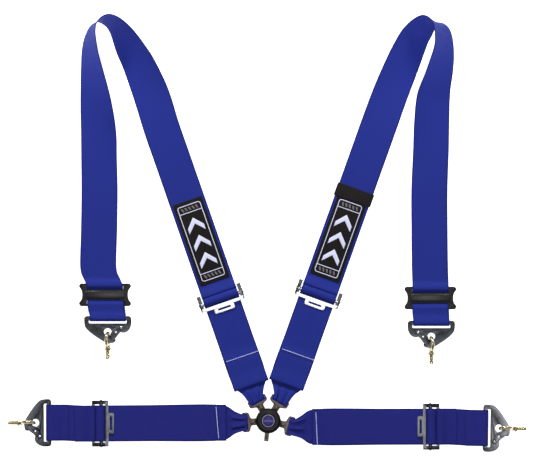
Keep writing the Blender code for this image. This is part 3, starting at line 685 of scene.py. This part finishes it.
# painted shade: the frame's side strips and walls (|y| > 38.6, x > 2) take the darker wall metal, so one piece of
# metal is shaded by colour
for f in adjuster.polygons:
    f.material_index = 1 if abs(f.center.y) > 38.6 and f.center.x > 2.0 else 0


def knurled(half, r):
    """A lock bar: plain journals and a finely grooved barrel."""
    profile = [(0, half + 4.4), (1.6, half + 4.4), (2.0, half + 4.0), (2.0, half + 0.5), (r - 0.5, half + 0.5), (r, half)]
    z = half
    while z > -half + 1.3:
        profile += [(r, z - 0.55), (r - 0.24, z - 0.75), (r - 0.24, z - 0.95), (r, z - 1.15)]
        z -= 1.3
    profile += [(r, -half), (r - 0.5, -half - 0.5), (2.0, -half - 0.5), (2.0, -half - 4.0), (1.6, -half - 4.4), (0, -half - 4.4)]
    mesh = turned(profile, 40)
    mesh.transform(Matrix.Translation((LOCK_U, 0, LOCK_Z)) @ Matrix.Rotation(math.radians(90), 4, "X"))
    return mesh


lock_bar = knurled(43.2, 3.9)
nut = turned([(0, 0), (3.1, 0), (3.3, 0.2), (3.3, 1.2), (2.9, 1.6), (0, 1.6)], 40)

hook_curve = [(29.5, 33.5), (29.3, 30.0), (28.2, 25.8), (25.5, 21.0)]
hook_outline = ([(-4.0, 41.5)] + arc(2, 41.3, 6, 180, 90, 10)[1:] + [(7, 47.6), (12, 47.3), (16, 46.4), (20, 45.0), (23.6, 42.8), (26.5, 40.0),
                (28.6, 37.0), (29.5, 33.5), (29.6, 30.2), (29.0, 27.0), (27.5, 23.8), (25.5, 21.0), (23.9, 17.6), (23.4, 12.6)]
                + arc(28.0, 0.0, 7.6, 108, 395, 48)
                + [(36.4, 6.2), (38.2, 8.4), (40.0, 10.5), (41.0, 13.2), (42.5, 15.0), (44.4, 15.8), (46.5, 15.6), (48.6, 14.3), (50.0, 12.0),
                   (50.8, 8.2), (51.0, 4.0), (50.7, -0.2), (49.5, -4.5), (46.7, -10.0), (43.0, -15.5), (38.2, -22.8), (33.0, -30.0),
                   (28.2, -36.1), (23.0, -41.5), (19.8, -44.2), (16.0, -46.0), (9.0, -47.1)]
                + arc(2, -41.3, 6, 270, 180, 10))
hook = plate([hook_outline, rounded(4.2, -38.0, 11.2, 38.0, 2.5, 10)], -HOOK_T / 2, HOOK_T / 2)
GATE_U, GATE_V = 20.0, 27.0
hook = boolean(hook, ("DIFFERENCE", rod((GATE_U, GATE_V, -5), (GATE_U, GATE_V, 5), 1.9, 28)))
gate_outline = arc(GATE_U, GATE_V, 4.6, 45, 225, 18) + [(18.6, 19.0), (21.8, 12.6), (26.0, 8.6), (32.0, 6.0), (38.0, 4.8), (41.8, 5.2), (44.5, 7.6),
                                                         (45.4, 10.8), (45.0, 13.0), (39.6, 17.4), (33.0, 22.0), (27.6, 27.2)]
gate = plate([gate_outline, arc(29.0, 16.5, 1.7, 0, 345, 23)], HOOK_T / 2 + 0.3, HOOK_T / 2 + 1.7)
rivet = turned([(0, 2.8), (1.9, 2.8), (2.6, 2.4), (3.0, 1.6), (3.0, 0.9), (0, 0.9)], 36)
rivet.transform(Matrix.Translation((GATE_U, GATE_V, HOOK_T / 2)))
rivet = merged(rivet, rod((GATE_U, GATE_V, -HOOK_T / 2 - 0.6), (GATE_U, GATE_V, HOOK_T / 2 + 1.8), 1.55, 28))
slot_cut = box((GATE_U - 3.4, GATE_V - 0.45, HOOK_T / 2 + 2.3), (GATE_U + 3.4, GATE_V + 0.45, HOOK_T / 2 + 3.4))
rivet = boolean(rivet, ("DIFFERENCE", slot_cut))

EYE_U, EYE_R, EYE_WIRE = 43.2, 12.3, 3.4
eye_ring = torus(EYE_R, EYE_WIRE, 72, 24)
eye_ring.transform(Matrix.Rotation(math.radians(90), 4, "X"))


def thread(r, start, end, pitch, depth, base):
    """A rolled thread: one continuous helical groove along the stud, with chamfered ends."""
    per, n = 32, int((end - start) / pitch * 32)
    rows = []
    for i in range(-1, int((end - start) / (pitch / 6)) + 2):
        rows.append(start + i * pitch / 6)
    verts, faces = [], []
    for i, x in enumerate(rows):
        for k in range(per):
            a = 2 * math.pi * k / per
            phase = ((x - start) / pitch - k / per) % 1.0
            h = r - depth * (0.5 - 0.5 * math.cos(2 * math.pi * phase)) ** 0.8
            h = min(h, r - 0.5 + max(0.0, (end - x)) * 0.7, r)
            verts.append((min(max(x, base), end), h * math.cos(a), h * math.sin(a)))
    n = len(rows)
    for i in range(n - 1):
        for k in range(per):
            k2 = (k + 1) % per
            faces.append((i * per + k, i * per + k2, (i + 1) * per + k2, (i + 1) * per + k))
    faces.append(tuple(range(per))[::-1])
    faces.append(tuple((n - 1) * per + k for k in range(per)))
    mesh = bpy.data.meshes.new("thread")
    mesh.from_pydata(verts, [], faces)
    bm = bmesh.new()
    bm.from_mesh(mesh)
    bmesh.ops.recalc_face_normals(bm, faces=bm.faces)
    bm.to_mesh(mesh)
    bm.free()
    return mesh


neck = turned([(0, -1), (4.6, -1), (4.9, 1.0), (4.6, 3.6), (5.6, 4.2), (6.9, 4.8), (7.0, 5.2), (7.0, 7.6), (6.6, 8.2), (4.6, 8.6),
               (4.2, 9.2), (4.2, 10.5), (0, 10.5)], 64)
neck.transform(Matrix.Translation((EYE_R + 0.8, 0, 0)) @ Matrix.Rotation(math.radians(90), 4, "Y"))
stud = thread(4.4, EYE_R + 9.6, EYE_R + 28.5, 1.35, 0.75, EYE_R + 9.0)

s_half = ([(0.0, 45.6), (5.0, 45.9), (9.0, 47.0), (12.4, 49.0)] + arc(17.4, 46.6, 5.3, 118, 0, 14) + [(22.7, 40.0), (22.7, 0.0)])
s_out = [(u, v) for u, v in s_half] + [(u, -v) for u, v in reversed(s_half[:-1])] \
    + [(-u, -v) for u, v in s_half[1:]] + [(-u, v) for u, v in reversed(s_half[1:-1])]
slider = plate([s_out, rounded(10.0, -36.3, 18.0, 36.3, 1.4, 8), rounded(-18.0, -36.3, -10.0, 36.3, 1.4, 8)], 5.2, 8.2)
slider_bar = rod((0, -38.5, 0), (0, 38.5, 0), 1.0, 48)
slider_bar.transform(Matrix.Translation((0, 0, 7.6)) @ Matrix.Diagonal((8.4, 1, 2.1, 1)))


def add(name, mesh, mat, matrix, body, replaces=(), bevel=0.0, segments=2, smooth=35):
    obj = put(name, mesh, mat, matrix, bevel=bevel, segments=segments, smooth=smooth)
    if replaces:
        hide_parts(*replaces)
    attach(obj, body)
    return obj


ROLL = {"shoulder_left": 14.0, "shoulder_right": -14.0, "lap_left": 10.0, "lap_right": -10.0}


def hook_set(side, bar, angle, sign):
    flip = Matrix.Diagonal((1, sign, 1, 1))
    lean = frame_at(bar, angle, HOOK_Z * 0.001) @ Matrix.Rotation(math.radians(-HOOK_PITCH), 4, "Y")
    # painted light: the lap_right hook and gate take the lighter copy of the same steel
    shade = M_HOOK_LIT if side == "lap_right" else M_STEEL
    add(f"v_hook_{side}", hook, shade, lean @ flip, f"hook_{side}", [f"hook_{side}"], 0.45, 3)
    add(f"v_gate_{side}", gate, shade, lean @ flip, f"gate_{side}", [f"gate_{side}"], 0.25)
    add(f"v_gate_rivet_{side}", rivet, M_RIVET, lean @ flip, f"gate_{side}", (), 0.0)
    for i, (x, w) in enumerate(((-30.0, 3.4), (-24.6, 3.4), (-19.2, 3.4))):
        mark = box((14.6, x, HOOK_T / 2 - 0.1), (15.4, x + w, HOOK_T / 2 + 0.14), 0.1)
        add(f"v_hook_mark_{side}_{i + 1}", mark, M_STEEL, lean @ flip, f"hook_{side}")
    bolt = (lean @ Matrix.Translation((EYE_U, 0, 0)) @ Matrix.Rotation(math.radians(HOOK_PITCH + EYE_DROP), 4, "Y")
            @ Matrix.Rotation(math.radians(ROLL[side]), 4, "X"))
    add(f"v_eye_ring_{side}", eye_ring, M_ZINC, bolt, f"eye_bolt_{side}", [f"eye_bolt_{side}"], smooth=80)
    add(f"v_eye_collar_{side}", neck, M_ZINC, bolt, f"eye_bolt_{side}")
    add(f"v_eye_stud_{side}", stud, M_ZINC, bolt, f"eye_bolt_{side}", smooth=60)


# ------------------------------------------------------------------ the four straps
def weave(name, pairs, mat, body, replaces=(), **kw):
    obj = strap(name, pairs, mat, **kw)
    if replaces:
        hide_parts(*replaces)
    if isinstance(body, str):
        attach(obj, body)
    else:
        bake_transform(obj)
    return obj


rear_z = ADJ_LIFT + ADJ_T / 2
for si, (side, g) in enumerate(GROUPS.items()):
    port = frame_at((0, 0), g["port"])
    shoulder = side.startswith("shoulder")
    cloth = M_SH if shoulder else M_LAP
    t_body = "buckle" if side == "lap_left" else f"tongue_{side}"
    s_body = f"strap_{side}"
    add(f"v_tongue_{side}", tongue, M_BRONZE, port, t_body, [f"tongue_{side}"], 0.3)
    add(f"v_tongue_rib_{side}", emboss, M_BRONZE, port, t_body, (), 0.25, smooth=60)
    bar_pt = port @ Vector((BAR_X1, 0, 0))
    adj_pt = plan(*g["adj"])
    run = adj_pt - bar_pt
    adj = frame_at(adj_pt, math.degrees(math.atan2(run.y, run.x)))
    reach = run.length * 1000

    def near(u, reach=reach):
        return u - reach

    # under strap, gathered round the tongue's bar and sewn back on itself
    bx = (BAR_X0 + BAR_X1) / 2
    dip = -1.8 if shoulder else -0.8
    pairs = [across(adj, near(56), Z2 - 0.6, WEB_W - 1), across(adj, near(42), Z2 - 0.2, 70), across(adj, near(27), Z2 + 0.6 + dip, 60),
             across(adj, near(16), Z2 + 3.0 + dip * 0.3, 45.5), across(port, bx + 2.2, ZC + 3.2, 34.2)]
    pairs += [across(port, bx - 2.6 + 5.3 * math.cos(math.radians(a)), ZC + 3.3 * math.sin(math.radians(a)), 33.4) for a in range(90, 271, 18)]
    pairs += [across(port, bx + 2.2, ZC - 3.0, 34.0), across(adj, near(16), 2.2, 46), across(adj, near(31), Z1, 66),
              across(adj, near(50), Z1), across(adj, -80.0, Z1), across(adj, 9.8, Z1)]
    weave(f"v_under_{side}", pairs, cloth, (t_body, s_body, adj @ Vector((near(70), 0, 0)), adj @ Vector((-25.0, 0, 0))),
          [f"strap_under_{side}"], seed=si * 3 + 1)

    # up over the lock bar and back down inside the adjuster
    lz = LOCK_Z
    pairs = [across(adj, u, z) for u, z in
             ((9.4, Z1), (14.4, 1.9), (17.0, 4.2), (18.3, 8.0), (19.8, 12.2), (18.4, 15.4), (14.6, 17.2), (10.2, 17.2), (6.3, 15.0),
              (4.4, 11.4), (4.1, 7.8), (3.0, 5.3), (1.0, 3.95), (-2.6, Z2))]
    weave(f"v_roll_{side}", pairs, cloth, (s_body, f"adjuster_{side}", adj @ Vector((9.8, 0, 2.0)), adj @ Vector((9.8, 0, 7.0))),
          (), step=0.0022, seed=si * 3 + 2)

    # free tail, doubled and sewn at its end
    start = -g["tail"] - (2.5 if shoulder else 0.0)
    hem = HEM if shoulder else LAP_HEM
    mid = 30 if shoulder else 8
    curl = 3.0 if shoulder else 1.0
    pairs = [across(adj, -1.6, Z2), across(adj, -20.0, Z2 + 0.1), across(adj, start + hem + 34, Z2 + 0.2),
             across(adj, start + hem + 14, Z2 + 0.4), across(adj, start + hem + 1, 6.2), across(adj, start + hem - (10 if shoulder else 4), 7.9),
             across(adj, start + mid, 8.1), across(adj, start + 3.2, 7.7 + curl), across(adj, start + 0.9, 7.0 + curl),
             across(adj, start + 0.2, 5.9 + curl), across(adj, start + 1.0, 4.9 + curl), across(adj, start + 4, 4.4 + curl * 0.9),
             across(adj, start + mid, 4.6), across(adj, start + hem - 2, 4.6)]
    weave(f"v_tail_{side}", pairs, cloth, (s_body, f"tail_end_{side}", adj @ Vector((-22.0, 0, 0)), adj @ Vector((start + hem + 8, 0, 0))),
          [f"tail_{side}", f"tail_end_{side}"], seed=si * 3 + 3)
    inv = adj.inverted()
    ends = [(inv @ plan(*p)).to_2d() for p in HEM_LINES[side]]
    st = stitches(f"v_hem_stitch_{side}", adj, [[tuple(e) for e in ends]], 8.6, M_THREAD, 3.4, 3.1, 1.4, 0.6)
    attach(st, f"tail_end_{side}")
    rows = [start + 5, start + hem - 4] if shoulder else [start + 3.5]
    st = stitches(f"v_hem_stitch2_{side}", adj, [[(x, -33.5), (x, 33.5)] for x in rows], 8.5, M_BLUET)
    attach(st, f"tail_end_{side}")

    shade = M_CHROME if shoulder else M_LAPADJ
    # second slot carries the painted shade of the side walls
    add(f"v_adjuster_{side}", adjuster, [shade, M_WALL_SHADE if shoulder else M_EAR_SHADE], adj, f"adjuster_{side}", [f"adjuster_{side}"], 0.35, 3)
    add(f"v_lock_bar_{side}", lock_bar, shade, adj, f"adjuster_{side}", [f"lock_bar_{side}"], smooth=50)

    grid_bar, out, slide_at, sign = HOOKS[side]
    bar = plan(*grid_bar)
    hook_set(side, bar, out, sign)
    hf = frame_at(bar, out)
    if slide_at is None:
        pairs = [across(adj, 62.0, 3.4), across(adj, 48.0, 4.2), across(adj, 40.0, 6.0), across(adj, 33, 9.6)]
        pairs += [across(adj, u, z) for u, z in bend(REAR_U, rear_z, 4.6, 75, 285, 12)]
        pairs += [across(adj, 33, Z1), across(adj, 45, Z1)]
        pairs += [across(hf, -26, Z1), across(hf, -14, Z1)]
        pairs += [across(hf, u, z) for u, z in bend(0, HOOK_Z, LOOP_R, -90, 90, 12)]
        pairs += [across(hf, -12, 9.4), across(hf, -26, 4.6), across(hf, -38, 3.4)]
        weave(f"v_outer_{side}", pairs, M_LAP, s_body, [f"outer_strap_{side}"], seed=si * 3 + 4)
        continue

    loop = LEFT_LOOP if side == "shoulder_left" else RIGHT_LOOP
    pairs = [across(adj, 80.0, Z1), across(adj, 33.0, Z1)]
    pairs += [across(adj, u, z) for u, z in reversed(bend(REAR_U, rear_z, 4.6, 75, 285, 12))]
    pairs += [across(adj, 32.5, 8.4), across(adj, 38.0, 5.2), across(adj, 44.0, Z2), across(adj, 120.0, Z2), across(adj, 220.0, Z2),
              across(adj, 320.0, Z2), across(adj, 370.0, Z2 + 0.4)]
    order = (lambda a, b: (a, b)) if side == "shoulder_left" else (lambda a, b: (b, a))
    pairs += [order(plan(*a), plan(*b)) for a, b in loop]
    sf = frame_at(plan(*slide_at), out)

    def lined(u, z, sf=sf, ref=pairs[-1]):
        a, b = across(sf, u, z)
        return (b, a) if (ref[0] - a).length > (ref[0] - b).length else (a, b)

    top_pairs = pairs + [tuple(p + mm(dx, 0, 0) for p in lined(u, z)) for u, z, dx in ENDING[side]]
    weave(f"v_upper_{side}", top_pairs, M_SH, s_body, [f"upper_strap_{side}"], step=0.0045, seed=si * 3 + 5)

    slide = f"slider_{side}"
    add(f"v_slider_{side}", slider, M_BLACK, sf, slide, [slide], 0.5, 3)
    o = add(f"v_slider_bar_{side}", slider_bar, M_BAR, sf, slide, (), 0.3, 2)

    def lean_x(u, z, table=DRIFT[side]):
        for (u0, d0), (u1, d1) in zip(table[:-1], table[1:]):
            if u <= u1 or u1 == table[-1][0]:
                d = d0 + (d1 - d0) * min(max((u - u0) / (u1 - u0), 0), 1)
                break
        a, b = across(sf, u, z)
        return (a + mm(d, 0, 0), b + mm(d, 0, 0))

    hump = [lean_x(u, z) for u, z in ((-40, Z2 + 0.4), (-33, 4.5), (-28.6, 6.6), (-26.0, 8.9), (-23.0, 9.9), (-17.5, 9.9), (-14, 7.2),
                                          (-11.2, 4.6), (-9.4, 4.2))]
    weave(f"v_hump_{side}", hump, M_SH, slide, (), step=0.0022, seed=si * 3 + 6)
    pairs = [lean_x(u, z) for u, z in ((9.4, 4.2), (11.2, 4.6), (14, 7.2), (17.5, 9.9), (23.0, 9.9), (28.0, 9.6), (33.0, 9.6))]
    pairs += [across(hf, -5, HOOK_Z + LOOP_R - 0.6)]
    pairs += [across(hf, u, z) for u, z in bend(0, HOOK_Z, LOOP_R, 90, -90, 12)]
    pairs += [across(hf, -8, Z1)]
    weave(f"v_end_{side}", pairs, M_SH, (slide, s_body, sf @ Vector((24.0, 0, 0)), hf @ Vector((-6.0, 0, 0))), [f"strap_end_{side}"],
          step=0.0022, seed=si * 3 + 7)
    weave(f"v_end_under_{side}", [across(hf, -6, Z1), across(sf, -4, Z1), lean_x(-24, Z1), lean_x(-42, Z1)], M_SH, s_body, (), seed=si * 3 + 8)

    # the sewn patch: a woven black label with a raised white border and plain marks
    lo, hi = (46.0, 217.0) if side == "shoulder_left" else (46.0, 209.2)
    z0 = Z2 + 1.05
    pad = plate([rounded(lo, -30.5, hi, 30.5, 2.5, 6)], z0, z0 + 1.3)
    add(f"v_patch_{side}", pad, M_PATCH, adj, s_body, [f"patch_{side}"], 0.4, 3)
    z1 = z0 + 1.25
    b0, b1 = (53.0, 209.4) if side == "shoulder_left" else (52.9, 206.4)

    def line(loops, tag, mat=M_WHITE, side=side, adj=adj, s_body=s_body, z1=z1):
        add(f"v_patch_{tag}_{side}", plate(loops, z1, z1 + 0.45), mat, adj, s_body, (), 0.12)

    line([rounded(b0, -24.3, b1, 24.3, 5.0, 8), rounded(b0 + 1.5, -22.8, b1 - 1.5, 22.8, 3.5, 8)], "border")
    for k, x in enumerate((b0 + 15.6, b1 - 15.6)):
        line([[(x - 0.75, -23.2), (x + 0.75, -23.2), (x + 0.75, 23.2), (x - 0.75, 23.2)]], f"divider_{k + 1}")
    c = (b0 + b1) / 2
    for k in range(3):
        x = c + (k - 1) * 36.5
        line([[(x - 16.0, -17.0), (x - 5.0, -17.0), (x + 14.0, 0.0), (x - 5.0, 17.0), (x - 16.0, 17.0), (x + 1.5, 0.0)]], f"chevron_{k + 1}")
    for e, x in ((1, b0 + 8.4), (2, b1 - 8.4)):
        for k in range(5):
            y = (k - 2) * 7.4
            line([[(x - 3.6, y - 3.2), (x - 3.6, y + 0.6), (x + 3.6, y + 3.2), (x + 3.6, y - 0.6)]], f"bar_{e}_{k + 1}", M_GREYT)
    edge = [(lo + 1.6, -28.9), (hi - 1.6, -28.9), (hi - 1.6, 28.9), (lo + 1.6, 28.9), (lo + 1.6, -28.9)]
    st = stitches(f"v_patch_stitch_{side}", adj, [edge], z1, M_PATCH, 3.6, 2.6, 0.8, 0.3)
    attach(st, s_body)
    if side == "shoulder_right":
        outer = box((209.5, -38.6, 0.4), (236.0, 38.6, 7.2), 1.4, 4)
        keeper = boolean(outer, ("DIFFERENCE", box((200, -37.1, 2.0), (250, 37.1, 5.6))))
        add("v_keeper", keeper, M_ELASTIC, adj, "keeper", ["keeper_band"])
        for k in range(11):
            y = 211.6 + k * 2.23
            rib = box((y - 0.55, -37.4, 6.9), (y + 0.55, 37.4, 7.45), 0.25)
            add(f"v_keeper_rib_{k + 1}", rib, M_ELASTIC, adj, "keeper")

# ------------------------------------------------------------------ room
scene = bpy.context.scene
lo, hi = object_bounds()

floor = bpy.data.meshes.new("floor")
floor.from_pydata([(-6, -6, -0.0035), (6, -6, -0.0035), (6, 6, -0.0035), (-6, 6, -0.0035)], [], [(0, 1, 2, 3)])
floor_o = bpy.data.objects.new("floor", floor)
scene.collection.objects.link(floor_o)
fm = bpy.data.materials.new("floor_white")
fm.use_nodes = True
fm.node_tree.nodes["Principled BSDF"].inputs["Base Color"].default_value = (1, 1, 1, 1)
fm.node_tree.nodes["Principled BSDF"].inputs["Roughness"].default_value = 1.0
fm.node_tree.nodes["Principled BSDF"].inputs["Specular IOR Level"].default_value = 0.0
fm.node_tree.nodes["Principled BSDF"].inputs["Emission Color"].default_value = (1, 1, 1, 1)
fm.node_tree.nodes["Principled BSDF"].inputs["Emission Strength"].default_value = 1.0
floor.materials.append(fm)

world = bpy.data.worlds.new("world")
scene.world = world
world.use_nodes = True
wt = world.node_tree
wc = wt.nodes.new("ShaderNodeTexCoord")
ws = wt.nodes.new("ShaderNodeSeparateXYZ")
wr = wt.nodes.new("ShaderNodeValToRGB")
wt.links.new(wc.outputs["Generated"], ws.inputs[0])
wt.links.new(ws.outputs[2], wr.inputs[0])
ramp = wr.color_ramp
ramp.elements[0].position, ramp.elements[0].color = 0.0, (0.05, 0.05, 0.05, 1)
ramp.elements[1].position, ramp.elements[1].color = 1.0, (1, 1, 1, 1)
for at, v in ((0.32, 0.06), (0.36, 0.9), (0.52, 0.9), (0.58, 0.12), (0.78, 0.2), (0.9, 0.9)):
    e = ramp.elements.new(at)
    e.color = (v, v, v, 1)
wt.links.new(wr.outputs[0], wt.nodes["Background"].inputs[0])
wt.nodes["Background"].inputs[1].default_value = 0.5

cam_data = bpy.data.cameras.new("camera")
cam_data.lens = 900
cam_data.sensor_width = 36
cam_data.clip_end = 80
cam = bpy.data.objects.new("camera", cam_data)
cam.location = (-0.0036, 0.3794, 1.066 * 900 / 36)
scene.collection.objects.link(cam)
scene.camera = cam


def lamp(name, place, size, power, aim=(0, 0.38, 0)):
    d = bpy.data.lights.new(name, "AREA")
    d.shape = "SQUARE"
    d.size = size
    d.energy = power
    o = bpy.data.objects.new(name, d)
    o.location = place
    o.rotation_euler = (Vector(aim) - Vector(place)).to_track_quat("-Z", "Y").to_euler()
    scene.collection.objects.link(o)
    return o


def spot(name, place, aim, spread, power):
    d = bpy.data.lights.new(name, "SPOT")
    d.spot_size = math.radians(spread)
    d.spot_blend = 1.0
    d.shadow_soft_size = 0.12
    d.energy = power
    o = bpy.data.objects.new(name, d)
    o.location = place
    o.rotation_euler = (Vector(aim) - Vector(place)).to_track_quat("-Z", "Y").to_euler()
    scene.collection.objects.link(o)
    return o


lamp("key", (-1.5, 3.2, 1.9), 0.4, 85)
lamp("side", (1.5, 3.0, 2.0), 0.5, 55)
lamp("top", (0.1, 0.4, 3.6), 1.8, 34)
spot("loop_left", (-0.2, -0.7, 1.4), (-0.34, 0.8, 0.05), 13, 100)
spot("loop_right", (0.2, -0.7, 1.4), (0.3, 0.8, 0.05), 13, 100)
scene.view_settings.view_transform = "Standard"
